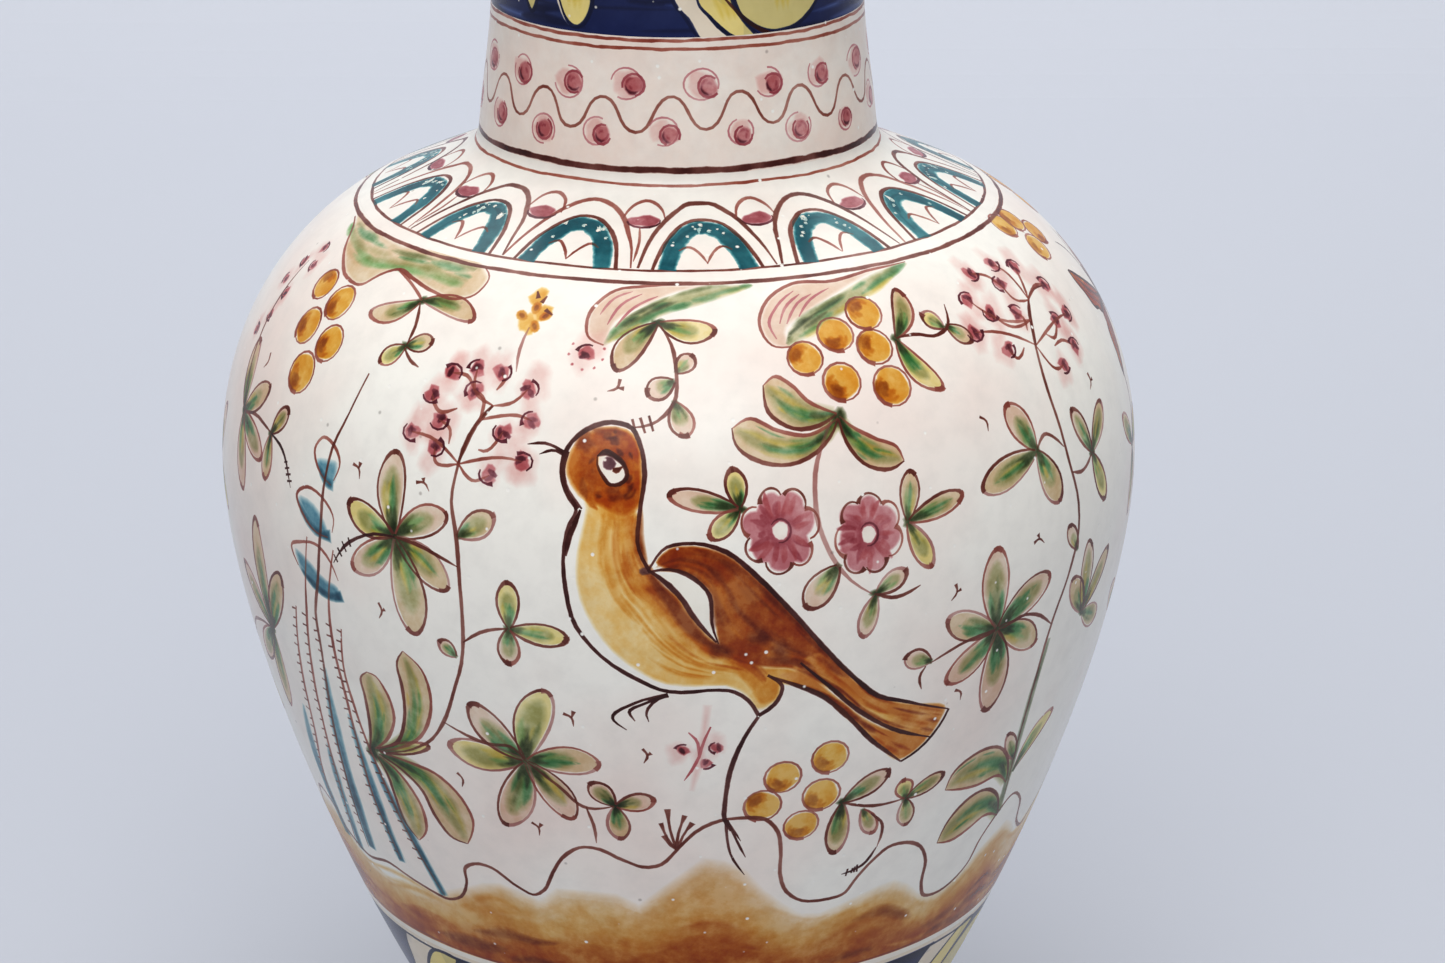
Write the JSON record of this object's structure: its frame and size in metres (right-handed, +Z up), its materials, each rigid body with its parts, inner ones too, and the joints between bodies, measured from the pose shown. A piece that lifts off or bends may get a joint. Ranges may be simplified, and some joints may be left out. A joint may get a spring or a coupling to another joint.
{
  "type": "painted earthenware vase",
  "caption": "Baluster vase of tin-glazed earthenware with a foot ring, full belly, short neck and flared mouth, hand painted with a bird among flowering sprigs.",
  "frame": {"origin": "centre of the circle on which the foot ring stands, on the axis of the vase", "axes": "+Z up along the axis of the vase, -Y towards the front with the painted bird, +X to the right of it"},
  "size_m": [0.2408, 0.2408, 0.37],
  "materials": {
    "clay": "unglazed fired earthenware, matt",
    "slip": "fired slip, matt",
    "glaze_white": "tin glaze, satin gloss",
    "glaze_painted": "tin glaze, painted, satin gloss",
    "glaze_cobalt": "cobalt ground with yellow leaves, satin gloss"
  },
  "bodies": {
    "root": {"foot_ring": "clay", "lower_body": "clay", "upper_body": "clay", "neck": "clay", "mouth_rim": "clay", "slip_foot_joint": "slip", "slip_belly_joint": "slip", "slip_neck_joint": "slip", "slip_mouth_joint": "slip", "glaze_foot_band": "glaze_cobalt", "glaze_frieze": "glaze_painted", "glaze_shoulder_band": "glaze_painted", "glaze_neck_band": "glaze_painted", "glaze_mouth_band": "glaze_cobalt", "glaze_lining": "glaze_white"}
  },
  "joints": []
}
